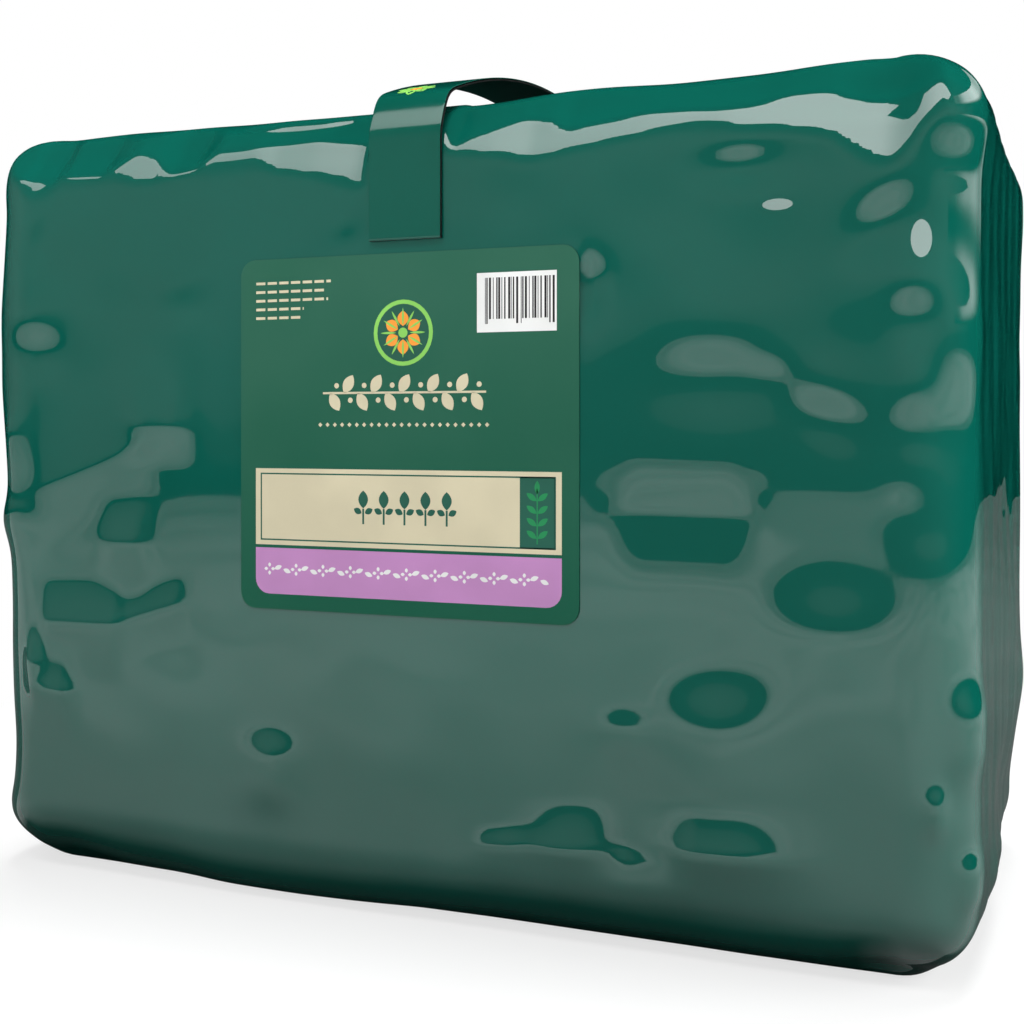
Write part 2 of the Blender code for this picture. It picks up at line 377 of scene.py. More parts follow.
def finish_piece(piece, node, material):
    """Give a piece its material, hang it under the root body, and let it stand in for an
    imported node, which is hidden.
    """
    piece.data.materials.append(material)
    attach(piece, "root")
    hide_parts(node)


def new_material(name, colour, roughness, ior=1.5):
    """A material with one Principled shader; returns the material and the shader."""
    material = bpy.data.materials.new(name)
    material.use_nodes = True
    shader = material.node_tree.nodes["Principled BSDF"]
    shader.inputs["Base Color"].default_value = (*colour, 1.0)
    shader.inputs["Roughness"].default_value = roughness
    shader.inputs["IOR"].default_value = ior
    return material, shader


def split_up(nodes, links, vector):
    """The sockets "X", "Y" and "Z" of a vector."""
    split = nodes.new("ShaderNodeSeparateXYZ")
    links.new(vector, split.inputs["Vector"])
    return split.outputs


def eased(nodes, links, value, start, end, low, high, course="SMOOTHSTEP"):
    """A value carried from low at start to high at end, smoothly or along a line."""
    ease = nodes.new("ShaderNodeMapRange")
    ease.interpolation_type = course
    for socket, number in zip(ease.inputs[1:5], (start, end, low, high)):
        socket.default_value = number
    links.new(value, ease.inputs["Value"])
    return ease.outputs["Result"]


def combined(nodes, links, operation, first, second):
    """Two values joined by a Math node."""
    node = nodes.new("ShaderNodeMath")
    node.operation = operation
    for socket, value in zip(node.inputs, (first, second)):
        if isinstance(value, float):
            socket.default_value = value
        else:
            links.new(value, socket)
    return node.outputs["Value"]


def new_group(name, inputs, outputs):
    """An empty shader node group with named vector or number inputs and number outputs."""
    group = bpy.data.node_groups.new(name, "ShaderNodeTree")
    for socket, kind in inputs:
        group.interface.new_socket(socket, in_out="INPUT", socket_type="NodeSocket" + kind)
    for socket in outputs:
        group.interface.new_socket(socket, in_out="OUTPUT", socket_type="NodeSocketFloat")
    return group, group.nodes.new("NodeGroupInput"), group.nodes.new("NodeGroupOutput")


def noise(nodes, links, place, scale, detail):
    """Smooth noise from 0 to 1 at a place; the scale is a number or a socket."""
    node = nodes.new("ShaderNodeTexNoise")
    node.inputs["Detail"].default_value = detail
    links.new(place, node.inputs["Vector"])
    if isinstance(scale, float):
        node.inputs["Scale"].default_value = scale
    else:
        links.new(scale, node.inputs["Scale"])
    return node.outputs["Fac"]


# Cloudiness of a film or an ink: Tone drifts slowly with a little fine speckle on it
mottle, group_in, group_out = new_group(
    "mottle", [("Place", "Vector"), ("Slow", "Float"), ("Fine", "Float")], ["Tone", "Grain"])
nodes, links, sockets = mottle.nodes, mottle.links, group_in.outputs
slow = noise(nodes, links, sockets["Place"], sockets["Slow"], 2.0)
grain = noise(nodes, links, sockets["Place"], sockets["Fine"], 3.0)
slow = eased(nodes, links, slow, 0.3, 0.7, 0.0, 0.8)
tone = combined(nodes, links, "MULTIPLY", grain, 0.2)
tone = combined(nodes, links, "ADD", slow, tone)
links.new(tone, group_out.inputs["Tone"])
links.new(grain, group_out.inputs["Grain"])


def use_mottle(material, shader, tones, roughness, scales, relief):
    """Let the mottle vary colour, roughness and a faint relief; returns sockets to add to."""
    nodes, links = material.node_tree.nodes, material.node_tree.links
    place = nodes.new("ShaderNodeTexCoord").outputs["Object"]
    cloud = nodes.new("ShaderNodeGroup")
    cloud.node_tree = mottle
    links.new(place, cloud.inputs["Place"])
    cloud.inputs["Slow"].default_value, cloud.inputs["Fine"].default_value = scales
    colour = nodes.new("ShaderNodeMix")
    colour.data_type = "RGBA"
    links.new(cloud.outputs["Tone"], colour.inputs["Factor"])
    colour.inputs["A"].default_value = (*tones[0], 1.0)
    colour.inputs["B"].default_value = (*tones[1], 1.0)
    links.new(colour.outputs["Result"], shader.inputs["Base Color"])
    links.new(eased(nodes, links, cloud.outputs["Tone"], 0.0, 1.0, *roughness),
              shader.inputs["Roughness"])
    bump = nodes.new("ShaderNodeBump")
    bump.inputs["Distance"].default_value = 1.0
    height = combined(nodes, links, "MULTIPLY", cloud.outputs["Grain"], relief)
    links.new(height, bump.inputs["Height"])
    links.new(bump.outputs["Normal"], shader.inputs["Normal"])
    return place, colour, height, bump


film, film_shader = new_material("green_film", (0.002, 0.096, 0.070), 0.025, ior=1.62)
place, _, height, bump = use_mottle(
    film, film_shader, ((0.002, 0.090, 0.065), (0.002, 0.102, 0.075)), (0.018, 0.036),
    (7.0, 46.0), 0.000012)

# Stretch lines: the film is drawn tight round both ends in fine upright lines
nodes, links = film.node_tree.nodes, film.node_tree.links
squash = nodes.new("ShaderNodeMapping")
squash.inputs["Scale"].default_value = (0.0, 330.0, 7.0)
links.new(place, squash.inputs["Vector"])
lines = noise(nodes, links, squash.outputs["Vector"], 1.0, 2.0)
part = split_up(nodes, links, place)
at_end = combined(nodes, links, "ABSOLUTE", part["X"], 0.0)
at_end = eased(nodes, links, at_end, 0.236, 0.252, 0.0, 0.00003)
lines = combined(nodes, links, "MULTIPLY", lines, at_end)
height = combined(nodes, links, "ADD", height, lines)
links.new(height, bump.inputs["Height"])

# Pinches on the front, too small for the skin's grid: the film leans back inside the
# first two, and out inside the last, which lies along the top edge. Centre, reach across
# and up, and lean.
PINCHES = [
    (0.1763, 0.3299, 0.0075, 0.0028, 0.395),
    (0.2352, 0.3130, 0.0046, 0.0088, 0.395),
    (-0.0670, 0.3858, 0.0340, 0.0042, -0.285),
]
tilt = 0.0
in_front = eased(nodes, links, part["Y"], -0.115, -0.105, 1.0, 0.0)
for x, z, reach_x, reach_z, leaning in PINCHES:
    squares = []
    for axis, centre, reach in (("X", x, reach_x), ("Z", z, reach_z)):
        away = combined(nodes, links, "SUBTRACT", part[axis], centre)
        away = combined(nodes, links, "DIVIDE", away, reach)
        squares.append(combined(nodes, links, "MULTIPLY", away, away))
    away = combined(nodes, links, "ADD", *squares)
    inside = combined(nodes, links, "MULTIPLY", in_front,
                      eased(nodes, links, away, 0.7, 1.0, leaning, 0.0))
    tilt = combined(nodes, links, "ADD", inside, tilt)
upward = nodes.new("ShaderNodeVectorMath")
upward.operation = "SCALE"
upward.inputs[0].default_value = (-0.2, 0.0, 1.0)
links.new(tilt, upward.inputs["Scale"])
lean = nodes.new("ShaderNodeVectorMath")
lean.operation = "ADD"
links.new(nodes.new("ShaderNodeNewGeometry").outputs["Normal"], lean.inputs[0])
links.new(upward.outputs["Vector"], lean.inputs[1])
turned = nodes.new("ShaderNodeVectorMath")
turned.operation = "NORMALIZE"
links.new(lean.outputs["Vector"], turned.inputs[0])
links.new(turned.outputs["Vector"], bump.inputs["Normal"])

cube_points, bale_quads = cube_lattice(BALE_CELLS)
bale = make_piece("film_skin", film_surface(cube_points), bale_quads.tolist())
finish_piece(bale, "wrapped_bale", film)


# ------------------------------------------------------------------------------- Label
# A rounded sheet of satin film, and its print in ten pieces. Each is one ink: thin closed
# slabs standing a twentieth of a millimetre above the ink or film they lie on.
LABEL_X = (-0.091, 0.087)
LABEL_Z = (0.1465, 0.3175)
LABEL_FRONT = FRONT - 0.0007
LABEL_THICKNESS = 0.0004
INK = 0.00005


def panel(left, right, low, high, lower=0.0, upper=0.0, steps=7):
    """Outline of an upright panel, anticlockwise, with quarter-circle corners.

    The lower two and the upper two corners have their own radius.
    """
    turn = np.linspace(0.0, math.pi / 2, steps)
    corners = ((left, low, 1, 1, lower, 2), (right, low, -1, 1, lower, 3),
               (right, high, -1, -1, upper, 0), (left, high, 1, -1, upper, 1))
    arcs = [np.stack([x + side * radius + radius * np.cos(turn + quarter * math.pi / 2),
                      z + up * radius + radius * np.sin(turn + quarter * math.pi / 2)], axis=1)
            for x, z, side, up, radius, quarter in corners]
    sharp = [arc[:1] if radius == 0.0 else arc
             for arc, (*_, radius, _) in zip(arcs, corners)]
    return np.concatenate(sharp)


def leaf(x, z, length, width, turn, steps=9):
    """Outline of a pointed leaf from its foot, w sin(pi t)^0.8 wide at t of its length."""
    along = np.linspace(0.0, 1.0, steps)
    side = width / 2 * np.sin(math.pi * along) ** 0.8
    lengthwise = np.concatenate([along, along[-2:0:-1]]) * length
    sideways = np.concatenate([-side, side[-2:0:-1]])
    cosine, sine = math.cos(turn), math.sin(turn)
    return np.stack([x + cosine * lengthwise - sine * sideways,
                     z + sine * lengthwise + cosine * sideways], axis=1)


def disc(x, z, radius, steps=32):
    """Outline of a circle, anticlockwise."""
    turn = np.arange(steps) / steps * 2.0 * math.pi
    return np.stack([x + radius * np.cos(turn), z + radius * np.sin(turn)], axis=1)


def on_label(flat, height):
    """Places (x, z) of the print at a height in front of the label film."""
    return np.stack([flat[:, 0], 0.0 * flat[:, 0] + LABEL_FRONT - height, flat[:, 1]], axis=1)


def slabs(name, outlines, low, high, place=on_label):
    """One piece from many outlines: each is a closed slab between a low and a high level."""
    points, faces, count = [], [], 0
    for outline in outlines:
        ring = np.arange(len(outline))
        after = np.roll(ring, -1)
        points += [place(outline, high), place(outline, low)]
        faces.append((ring + count).tolist())
        faces.append((ring[::-1] + len(ring) + count).tolist())
        sides = np.stack([ring, ring + len(ring), after + len(ring), after], axis=1) + count
        faces += sides.tolist()
        count += 2 * len(ring)
    return make_piece(name, np.concatenate(points), faces, False)


def border(left, right, low, high, width):
    """Four bars that frame a rectangle, as outlines. The upright ones stop a hair short."""
    inner_low, inner_high = low + 1.02 * width, high - 1.02 * width
    return [panel(left, right, low, low + width), panel(left, right, high - width, high),
            panel(left, left + width, inner_low, inner_high),
            panel(right - width, right, inner_low, inner_high)]


def rosette(x, z, reach, petals, width):
    """Petals standing round a centre, as outlines of leaves."""
    return [leaf(x + 0.30 * reach * math.cos(turn), z + 0.30 * reach * math.sin(turn),
                 0.70 * reach, width, turn)
            for turn in np.arange(petals) / petals * 2.0 * math.pi + math.pi / 2]


def sprig(x, low, high, pairs, length, width):
    """An upright stalk with pairs of leaves and one leaf at its tip, as outlines."""
    step = (high - low - length) / pairs
    outlines = [panel(x - 0.00028, x + 0.00028, low, high - length * 0.6),
                leaf(x, high - length, length, width, math.pi / 2)]
    for pair in range(pairs):
        foot = low + (pair + 0.45) * step
        outlines += [leaf(x - side * 0.0003, foot, length, width, math.pi / 2 + side * 0.95)
                     for side in (-1, 1)]
    return outlines


def new_ink(name, colour, roughness, drift, ior=1.5):
    """A material between 0.93 and 1.05 of an ink's colour; drift is its roughness range."""
    ink, shader = new_material(name, colour, roughness, ior)
    tones = [0.93 * part for part in colour], [min(1.0, 1.05 * part) for part in colour]
    use_mottle(ink, shader, tones, drift, (30.0, 900.0), 0.000006)
    return ink


label_film, label_shader = new_material("label_film", (0.009, 0.103, 0.060), 0.45, ior=1.25)
# The lighter tone serves both the sheet's random mottle and the painted sheen below
place, colour, _, _ = use_mottle(
    label_film, label_shader, ((0.0045, 0.0980, 0.0550), (0.0260, 0.1260, 0.0800)),
    (0.38, 0.52), (14.0, 420.0), 0.000010)
# Painted sheen: the sheet's tone pales from its foot to its head, a lighter top
# standing in for the gloss that catches more of the room there
nodes, links = label_film.node_tree.nodes, label_film.node_tree.links
cloud = colour.inputs["Factor"].links[0].from_socket
painted_sheen = combined(nodes, links, "MULTIPLY", cloud, 0.30)
painted_sheen = combined(nodes, links, "ADD", painted_sheen, eased(
    nodes, links, split_up(nodes, links, place)["Z"], *LABEL_Z, -0.08, 0.78))
links.new(painted_sheen, colour.inputs["Factor"])
label_sheet = slabs("label_sheet", [panel(*LABEL_X, *LABEL_Z, 0.008, 0.008)],
                    -LABEL_THICKNESS, 0.0)
finish_piece(label_sheet, "front_label", label_film)

# A garland of leaves where a name would be, with a rule of small diamonds below it
cream = [panel(-0.0824, 0.0787, 0.1780, 0.2153), panel(-0.0445, 0.0415, 0.2513, 0.2523)]
for index, x in enumerate(np.linspace(-0.0405, 0.0345, 11)):
    up = 1 if index % 2 else -1
    cream += [leaf(x, 0.2518, 0.0098, 0.0058, up * 1.05),
              disc(x + 0.0035, 0.2518 - up * 0.0035, 0.0013, 12)]
cream += [disc(x, 0.2366, 0.0011, 4) for x in np.linspace(-0.046, 0.042, 23)]
# Five short rules of unequal length in the upper left corner
for row, length in enumerate((0.0420, 0.0385, 0.0405, 0.0270, 0.0250)):
    low = 0.3051 - 0.00425 * row
    cream += [panel(-0.0822 + start, -0.0822 + min(start + 0.0052, length), low, low + 0.0013)
              for start in np.arange(0.0, length, 0.0066)]

lavender = [panel(-0.0824, 0.0787, 0.1540, 0.1765, lower=0.0075)]
white = [panel(0.0369, 0.0763, 0.2790, 0.3063)]
for index, x in enumerate(np.linspace(-0.0745, 0.0705, 30)):
    white += rosette(x, 0.1662, 0.0030, 4, 0.0016) if index % 3 == 0 else [
        leaf(x - 0.0022, 0.1662, 0.0044, 0.0022, 0.35 if index % 3 == 1 else -0.35)]

# Bars of a made-up code: widths and gaps cycle through small multiples of one module
black, edge = [], 0.0410
for index in range(24):
    width = 0.00033 * (1 + index * 7 % 3)
    guard = 0.0022 if index in (0, 1, 11, 12, 22, 23) else 0.0
    black.append(panel(edge, edge + width, 0.2850 - guard, 0.3040))
    edge += width + 0.00033 * (1 + index * 5 % 4)

lime = [disc(-0.00125, 0.2799, 0.0156)]
emblem_ground = [disc(-0.00125, 0.2799, 0.0136)]
orange = rosette(-0.00125, 0.2799, 0.0104, 6, 0.0058)
lime_centre = [disc(-0.00125, 0.2799, 0.0024, 20)]
lime_centre += rosette(-0.00125, 0.2799, 0.0118, 12, 0.0011)

dark = border(-0.0796, 0.0759, 0.1802, 0.2131, 0.0007)
dark += [panel(0.0583, 0.0754, 0.1803, 0.2130)]
for x in np.linspace(-0.0225, 0.0215, 5):
    dark += [leaf(x, 0.1968, 0.0085, 0.0052, 1.571)]
    dark += [leaf(x + side * 0.0009, 0.1945, 0.0046, 0.0030, turn)
             for side, turn in ((1, 0.45), (-1, 2.69))]
    dark += [panel(x - 0.0005, x + 0.0005, 0.1893, 0.1967)]

leaf_green = sprig(0.0668, 0.1825, 0.2112, 4, 0.0060, 0.0026)

# Each ink's name and outlines, how many inks it lies on, and its colour
INKS = [
    ("print_cream", cream, 0, (0.679, 0.617, 0.429)),
    ("print_lavender", lavender, 0, (0.539, 0.257, 0.539)),
    ("print_white", white, 1, (0.83, 0.84, 0.83)),
    ("print_black", black, 2, (0.012, 0.012, 0.013)),
    ("print_lime", lime, 0, (0.258, 0.624, 0.117)),
    ("print_ground", emblem_ground, 1, (0.016, 0.104, 0.067)),
    ("print_orange", orange, 2, (0.982, 0.347, 0.045)),
    ("print_lime_centre", lime_centre, 3, (0.258, 0.624, 0.117)),
    ("print_dark_green", dark, 1, (0.012, 0.105, 0.070)),
    ("print_leaf_green", leaf_green, 2, (0.012, 0.255, 0.083)),
]
for name, outlines, level, colour in INKS:
    low = INK * level if level else -INK
    piece = slabs(name, outlines, low, INK * (level + 1))
    ink = new_ink(name, colour, 0.45, (0.40, 0.52), ior=1.35)
    finish_piece(piece, "front_label", ink)


# ------------------------------------------------------------------------------- Strap
# A flat strap glued to the front and back and standing off the top as a handle. It has
# a black backing and a green film face. The face leans back over the front bend, then
# rounds over to the top.
STRAP_WIDTH = 0.038
STRAP_TAIL_END = 0.3235
STRAP_RISE_END = 0.4185
STRAP_BACKING = (0.0003, 0.0015)
STRAP_FACE = (0.0018, 0.0023)
THREAD = 0.0016
# Arc length from a tail's end, and how far the strap has leaned back by then, in degrees
STRAP_LEAN = ((0.0, 0.0), (0.0490, 0.0), (0.0525, 19.5), (0.0640, 24.0), (0.074, 68.0),
              (0.190, 90.0))


def strap_path(steps=160):
    """Side view of the strap: its line (y, z), its outward direction, its arc length.

    The lean is a broken line over arc length, smoothed a little. Its cosine and sine,
    summed up, give the rise and the run. The front half is then scaled to end at the
    middle and at full height, and mirrored.
    """
    reach, lean = np.array(STRAP_LEAN).T
    length = np.linspace(0.0, reach[-1], steps)
    lean = np.radians(np.interp(length, reach, lean))
    lean = np.convolve(np.pad(lean, 2, mode="edge"), np.ones(5) / 5, mode="valid")
    step = np.diff(length, prepend=0.0)
    run, rise = np.cumsum(np.sin(lean) * step), np.cumsum(np.cos(lean) * step)
    bend = reach[1]
    rise = np.minimum(rise, bend) + np.maximum(rise - bend, 0.0) * (
        (STRAP_RISE_END - STRAP_TAIL_END - bend) / (rise[-1] - bend))
    run *= -FRONT / run[-1]
    half_line = np.stack([FRONT + run, STRAP_TAIL_END + rise], axis=1)
    line = np.concatenate([half_line, half_line[-2::-1] * (-1, 1)])
    along = np.gradient(line, axis=0)
    along /= np.linalg.norm(along, axis=1, keepdims=True)
    outward = np.stack([-along[:, 1], along[:, 0]], axis=1)
    distance = np.cumsum(np.linalg.norm(np.diff(line, axis=0, prepend=line[:1]), axis=1))
    return line, outward, distance


def strap_layer(low, high, width, steps=44):
    """Points and faces of a ribbon with closed ends, between two heights off the line.

    Its section is a superellipse of power 8: nearly a rectangle, with soft edges.
    """
    line, outward, _ = strap_path()
    turn = np.arange(steps) / steps * 2.0 * math.pi
    across = width / 2 * np.sign(np.cos(turn)) * np.abs(np.cos(turn)) ** 0.25
    height = (low + high) / 2 + (high - low) / 2 * (
        np.sign(np.sin(turn)) * np.abs(np.sin(turn)) ** 0.25)
    side = line[:, None, :] + outward[:, None, :] * height[None, :, None]
    x = np.broadcast_to(across, side.shape[:2])
    points = np.stack([x, side[..., 0], side[..., 1]], axis=-1).reshape(-1, 3)
    index = np.arange(len(points)).reshape(side.shape[:2])
    after = np.roll(index, -1, axis=1)
    quads = np.stack([index[:-1], index[1:], after[1:], after[:-1]], axis=-1).reshape(-1, 4)
    return points, [*quads.tolist(), index[0].tolist(), index[-1][::-1].tolist()]


def ribbon(name, low, high, width):
    """A strap layer as an object, smooth along it and sharp at the ends."""
    points, faces = strap_layer(low, high, width)
    piece = make_piece(name, points, faces, [len(face) == 4 for face in faces])
    run = piece.data.attributes.new("run", "FLOAT_VECTOR", "POINT")
    distance = strap_path()[2]
    along = np.repeat(distance, len(points) // len(distance))
    run.data.foreach_set("vector", np.stack([points[:, 0], along, 0.0 * along], axis=1).ravel())
    return piece


def on_strap(flat, height):
    """Places (across, arc length) of the strap's print at a height above its face."""
    line, outward, distance = strap_path()
    y, z, out_y, out_z = (np.interp(flat[:, 1], distance, part) for part in
                          (line[:, 0], line[:, 1], outward[:, 0], outward[:, 1]))
    level = STRAP_FACE[1] + height
    return np.stack([flat[:, 0], y + out_y * level, z + out_z * level], axis=1)


strap_film, strap_shader = new_material("strap_film", (0.002, 0.086, 0.060), 0.1, ior=1.45)
use_mottle(strap_film, strap_shader, ((0.002, 0.081, 0.056), (0.002, 0.091, 0.064)),
           (0.07, 0.115), (25.0, 160.0), 0.000010)
strap_black, black_shader = new_material("strap_black", (0.004, 0.004, 0.004), 0.6, ior=1.3)

# Plain weave of the backing, along the strap: two crossed rows of rounded threads
nodes, links = strap_black.node_tree.nodes, strap_black.node_tree.links
run = nodes.new("ShaderNodeAttribute")
run.attribute_name = "run"
part = split_up(nodes, links, run.outputs["Vector"])
threads = [combined(nodes, links, "SINE", combined(
    nodes, links, "MULTIPLY", part[axis], 2.0 * math.pi / THREAD), 0.0) for axis in "XY"]
weave = combined(nodes, links, "MULTIPLY", *threads)
links.new(eased(nodes, links, weave, -1.0, 1.0, 0.50, 0.72), black_shader.inputs["Roughness"])
tint = nodes.new("ShaderNodeMix")
tint.data_type = "RGBA"
tint.inputs["A"].default_value = (0.002, 0.002, 0.002, 1.0)
tint.inputs["B"].default_value = (0.008, 0.008, 0.008, 1.0)
links.new(eased(nodes, links, weave, -1.0, 1.0, 0.0, 1.0), tint.inputs["Factor"])
links.new(tint.outputs["Result"], black_shader.inputs["Base Color"])
bump = nodes.new("ShaderNodeBump")
bump.inputs["Distance"].default_value = 0.00008
links.new(weave, bump.inputs["Height"])
links.new(bump.outputs["Normal"], black_shader.inputs["Normal"])
finish_piece(ribbon("strap_under", *STRAP_BACKING, STRAP_WIDTH), "strap_backing",
             strap_black)
finish_piece(ribbon("strap_cover", *STRAP_FACE, STRAP_WIDTH - 0.0006), "strap_face",
             strap_film)

# A flower across the bend, at this place across the strap and arc length from its end
FLOWER = (-0.003, 0.0805)
for name, outlines, colour in (
        ("strap_petals", rosette(*FLOWER, 0.0098, 8, 0.0052), (0.258, 0.624, 0.117)),
        ("strap_centre", [disc(*FLOWER, 0.0030, 16)], (0.982, 0.347, 0.045))):
    piece = slabs(name, outlines, -0.0001, 0.00012, on_strap)
    ink = new_ink(name, colour, 0.3, (0.25, 0.38))
    finish_piece(piece, "strap_face", ink)


# ------------------------------------------------------------------------------ Studio
# A white floor in a plain grey room, an overhead light from a little behind, a long soft
# box above the front and two soft fills. The gloss mirrors the floor in its lower half and
# the room in its upper half, and cards stand in for what it sees of the lights. For the
# gloss and for bounce light the floor carries painted shadow round the bale and painted
# shade to the right.
FLOOR_RADIUS = 4.4
CORNER = (0.25, -0.12)


def make_floor(radius, steps=96):
    """A disc: points (radius cos t, radius sin t, 0) joined to its centre."""
    turn = np.arange(steps) / steps * 2.0 * math.pi
    rim = np.stack([radius * np.cos(turn), radius * np.sin(turn), 0.0 * turn], axis=1)
    index = np.arange(steps)
    faces = np.stack([index, (index + 1) % steps, np.full(steps, steps)], axis=1)
    points = np.concatenate([rim, [[0.0, 0.0, 0.0]]])
    return make_piece("floor", points, faces.tolist(), False)


def grey_steps(nodes, links, value, stops):
    """A broken line of grey over a value, from pairs of value and grey."""
    ramp = nodes.new("ShaderNodeValToRGB")
    steps = ramp.color_ramp.elements
    for index, (position, grey) in enumerate(stops):
        step = steps[index] if index < 2 else steps.new(position)
        step.position = position
        step.color = (grey, grey, grey, 1.0)
    links.new(value, ramp.inputs["Fac"])
    return ramp.outputs["Color"]


floor = make_floor(FLOOR_RADIUS)
paper, paper_shader = new_material("floor_paper", (0.85, 0.85, 0.85), 0.9)
floor.data.materials.append(paper)
floor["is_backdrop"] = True
nodes, links = paper.node_tree.nodes, paper.node_tree.links
place = nodes.new("ShaderNodeTexCoord").outputs["Object"]
part = split_up(nodes, links, place)

# Distance outside a box round the bale's foot, and what the gloss sees of the floor there:
# a painted shadow, near black at the box and pale by 0.45 m out
PAINTED_SHADOW_BOX = {"X": (-0.027, 0.233), "Y": (0.0, 0.143)}
FLOOR_PAINTED_SHADOW = [(0.0, 0.06), (0.006, 0.28), (0.020, 0.80), (0.10, 0.88), (0.24, 0.78),
               (0.45, 1.0)]
squares = []
for axis, (middle, half) in PAINTED_SHADOW_BOX.items():
    away = combined(nodes, links, "SUBTRACT", part[axis], middle)
    away = combined(nodes, links, "ABSOLUTE", away, 0.0)
    away = combined(nodes, links, "SUBTRACT", away, half)
    away = combined(nodes, links, "MAXIMUM", away, 0.0)
    squares.append(combined(nodes, links, "MULTIPLY", away, away))
off = combined(nodes, links, "SQRT", combined(nodes, links, "ADD", *squares), 0.0)
near = combined(nodes, links, "MULTIPLY", grey_steps(nodes, links, off, FLOOR_PAINTED_SHADOW), 0.655)
cloud = eased(nodes, links, noise(nodes, links, place, 2.6, 1.0), 0.3, 0.62, 0.80, 1.0)
near = combined(nodes, links, "MULTIPLY", near, cloud)

# Painted shade for the gloss: the floor is greyer far to the right, and round behind the
# right front corner, so the right end mirrors a dim floor
to_right = eased(nodes, links, part["X"], 0.9, 2.4, 1.0, 0.6)
turn = combined(nodes, links, "ARCTAN2",
                combined(nodes, links, "SUBTRACT", part["Y"], CORNER[1]),
                combined(nodes, links, "SUBTRACT", part["X"], CORNER[0]))
behind = eased(nodes, links, turn, math.radians(32), math.radians(82), 1.0, 0.14)
grey = combined(nodes, links, "MULTIPLY", near,
                combined(nodes, links, "MINIMUM", to_right, behind))

# Painted shade for bounce light: diffuse rays see the floor black at the box round the
# bale's foot, paling to 0.88 by 0.75 m out, so the film's own colour takes little light
# from the floor close by; a camera sees it white
soft = eased(nodes, links, off, 0.05, 0.75, 0.0, 0.88)
path = nodes.new("ShaderNodeLightPath")
for kind, other in (("Is Diffuse Ray", soft), ("Is Camera Ray", 0.9)):
    tone = nodes.new("ShaderNodeMix")
    links.new(path.outputs[kind], tone.inputs["Factor"])
    links.new(grey, tone.inputs["A"])
    if isinstance(other, float):
        tone.inputs["B"].default_value = other
    else:
        links.new(other, tone.inputs["B"])
    grey = tone.outputs["Result"]
links.new(grey, paper_shader.inputs["Base Color"])
white = nodes.new("ShaderNodeEmission")
reach = nodes.new("ShaderNodeVectorMath")
reach.operation = "LENGTH"
links.new(place, reach.inputs[0])
far = eased(nodes, links, reach.outputs["Value"], 0.30, 0.60, 0.7, 1.0, "LINEAR")
seen = combined(nodes, links, "MULTIPLY", far, path.outputs["Is Camera Ray"])
whiten = nodes.new("ShaderNodeMixShader")
links.new(seen, whiten.inputs["Fac"])
links.new(paper_shader.outputs["BSDF"], whiten.inputs[1])
links.new(white.outputs["Emission"], whiten.inputs[2])
links.new(whiten.outputs["Shader"], nodes["Material Output"].inputs["Surface"])


def add_lamp(name, kind, place, turn, in_gloss):
    """A lamp at a place, turned from looking straight down, in or out of the gloss."""
    lamp = bpy.data.lights.new(name, kind)
    lamp_object = bpy.data.objects.new(name, lamp)
    bpy.context.scene.collection.objects.link(lamp_object)
    lamp_object.location = place
    lamp_object.rotation_euler = turn
    lamp_object.visible_glossy = in_gloss
    return lamp


def add_card(name, points, faces):
    """A glowing card that only the gloss sees.

    Returns its glow's nodes and links, the sockets of the place on it, and its strength.
    """
    card = make_piece(name, points, faces)
    card.visible_camera = card.visible_diffuse = card.visible_shadow = False
    card.visible_transmission = False
    card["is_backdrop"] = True
    glow = bpy.data.materials.new(name + "_glow")
    glow.use_nodes = True
    card.data.materials.append(glow)
    nodes, links = glow.node_tree.nodes, glow.node_tree.links
    part = split_up(nodes, links, nodes.new("ShaderNodeTexCoord").outputs["Object"])
    light = nodes.new("ShaderNodeEmission")
    links.new(light.outputs["Emission"], nodes["Material Output"].inputs["Surface"])
    return nodes, links, part, light.inputs["Strength"]


SOFT_BOX_X = (-1.55, 1.60)
SOFT_BOX_Y = (-1.45, -0.88)
SOFT_BOX_HEIGHT = 1.75
soft_box = add_lamp("soft_box", "AREA", (-0.3, -1.165, SOFT_BOX_HEIGHT), (0.0, 0.0, 0.0), False)
soft_box.shape = "RECTANGLE"
soft_box.size = 2.2
soft_box.size_y = 0.57
soft_box.energy = 5.5 * soft_box.size * soft_box.size_y * math.pi

# What the gloss sees of it: a card that glows less toward its left end
corners = np.array([(x, y, SOFT_BOX_HEIGHT) for x in SOFT_BOX_X for y in SOFT_BOX_Y])
nodes, links, part, strength = add_card("soft_box_card", corners, [(0, 2, 3, 1)])
links.new(eased(nodes, links, part["X"], -1.3, 0.1, 3.2, 5.9), strength)


def add_arc_card(name, low, high, fade, strength, steps=16):
    """A glowing card bent round the right front corner.

    Points (2 cos t, 2 sin t) about the corner, for t from -20 to 75 degrees, at two
    heights. The glow rises over the fade heights and dies out toward both ends.
    """
    turn = np.radians(np.linspace(-20.0, 75.0, steps))
    ring = np.array(CORNER) + 2.0 * np.stack([np.cos(turn), np.sin(turn)], axis=1)
    points = np.concatenate([np.column_stack([ring, np.full(steps, level)])
                             for level in (low, high)])
    index = np.arange(steps - 1)
    faces = np.stack([index, index + 1, index + 1 + steps, index + steps], axis=1)
    nodes, links, part, glow = add_card(name, points, faces.tolist())
    level = eased(nodes, links, part["Z"], *fade, 0.0, strength)
    for start, end, first, last in ((-0.5, 0.3, 0.15, 1.0), (0.9, 1.7, 1.0, 0.25)):
        level = combined(nodes, links, "MULTIPLY", level, eased(
            nodes, links, part["Y"], start, end, first, last))
    links.new(level, glow)


# The lower card draws the streak down the right front edge, the upper the corner's glint
add_arc_card("edge_card", 0.50, 0.63, (0.50, 0.61), 2.2)
add_arc_card("corner_card", 1.15, 1.85, (1.15, 1.35), 4.6)

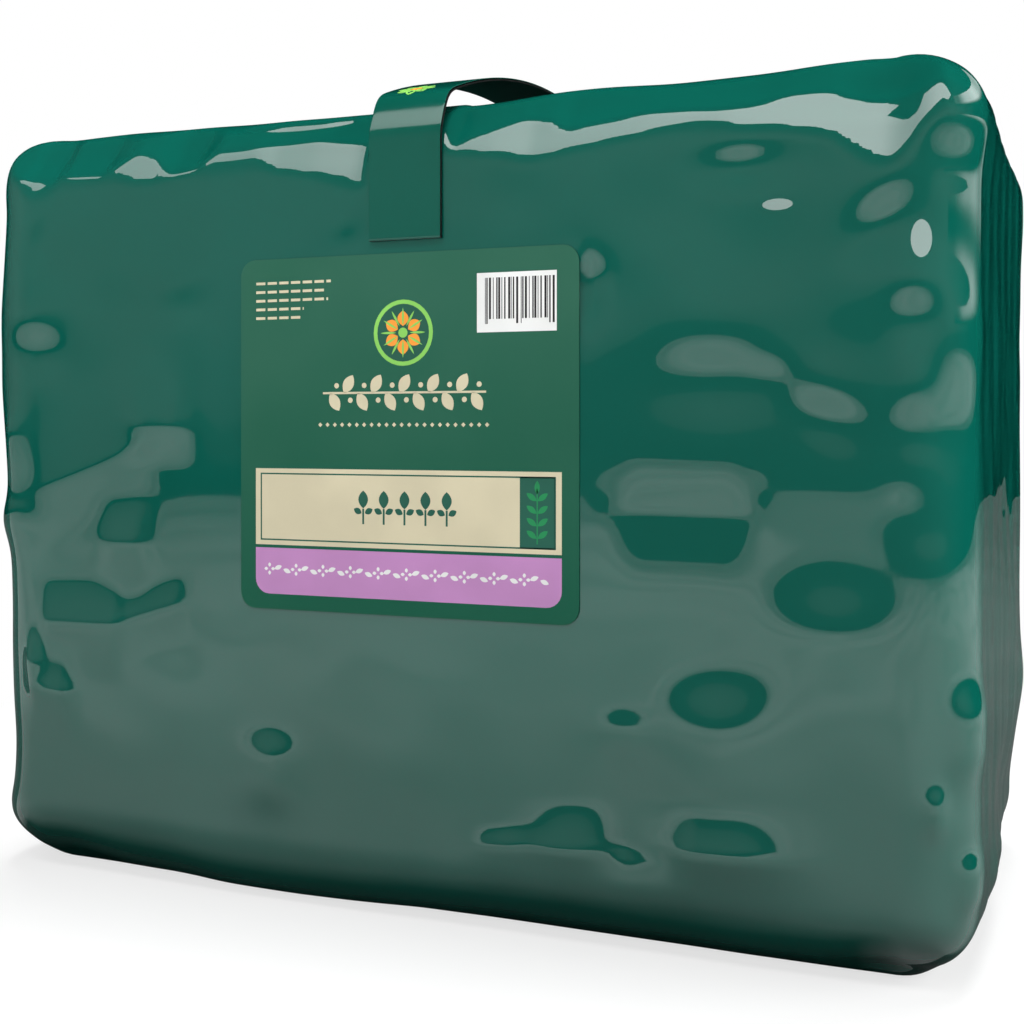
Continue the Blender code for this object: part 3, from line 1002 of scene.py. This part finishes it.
# Lights that the gloss doesn't see
overhead = add_lamp("overhead", "SUN", (0.0, 1.0, 4.0), (math.radians(-14), 0.0, 0.0), False)
overhead.energy = 3.4
overhead.angle = math.radians(28)

for name, place, turn, radiance in (
        ("front_fill", (-0.4, -2.6, 1.3), (math.radians(66), 0.0, math.radians(-9)), 2.2),
        ("side_fill", (2.6, 0.3, 1.3), (math.radians(66), 0.0, math.radians(97)), 8.5)):
    fill = add_lamp(name, "AREA", place, turn, False)
    fill.size = 1.7
    fill.energy = radiance * fill.size ** 2 * math.pi

# The room: dark at the horizon, palest a little above it, dark overhead and behind. To
# the left the horizon's dark band is lower, and deeper.
ROOM = [(0.0, 0.09), (0.049, 0.11), (0.060, 0.22), (0.156, 0.38), (0.276, 0.36), (0.50, 0.18),
        (0.77, 0.06), (0.94, 0.03)]
world = bpy.data.worlds.new("grey_room")
bpy.context.scene.world = world
world.use_nodes = True
nodes, links = world.node_tree.nodes, world.node_tree.links
background = nodes["Background"]
part = split_up(nodes, links, nodes.new("ShaderNodeTexCoord").outputs["Generated"])
lower = eased(nodes, links, part["X"], -0.62, -0.45, 0.08, 0.0)
grey = grey_steps(nodes, links, combined(nodes, links, "ADD", part["Z"], lower), ROOM)
ahead = eased(nodes, links, part["Y"], -0.417, 0.375, 1.0, 0.0, "LINEAR")
low = eased(nodes, links, part["Z"], -0.032, -0.020, 1.0, 0.0)
left = eased(nodes, links, part["X"], -0.62, -0.35, 0.75, 0.0)
level = combined(nodes, links, "SUBTRACT", 1.0, combined(nodes, links, "MULTIPLY", low, left))
level = combined(nodes, links, "MULTIPLY", level, ahead)
room = nodes.new("ShaderNodeVectorMath")
room.operation = "SCALE"
links.new(grey, room.inputs[0])
links.new(level, room.inputs["Scale"])
path = nodes.new("ShaderNodeLightPath")
mix = nodes.new("ShaderNodeMix")
mix.data_type = "RGBA"
links.new(path.outputs["Is Camera Ray"], mix.inputs["Factor"])
links.new(room.outputs["Vector"], mix.inputs["A"])
mix.inputs["B"].default_value = (1.0, 1.0, 1.0, 1.0)
links.new(mix.outputs["Result"], background.inputs["Color"])


# ------------------------------------------------------------------------------ Camera
# The eye stands to the right, a little above the bale's middle, and looks level. The
# frame is shifted down rather than tipped, so upright edges stay upright.
camera_data = bpy.data.cameras.new("camera")
camera = bpy.data.objects.new("camera", camera_data)
bpy.context.scene.collection.objects.link(camera)
camera.location = (0.316, -0.760, 0.2365)
camera.rotation_euler = (math.pi / 2, 0.0, math.radians(23.0))
camera_data.sensor_width = 36.0
camera_data.lens = 51.68
camera_data.shift_y = -0.085
camera_data.clip_start = 0.01
bpy.context.scene.camera = camera
bpy.context.scene.view_settings.view_transform = "Standard"

low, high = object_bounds()
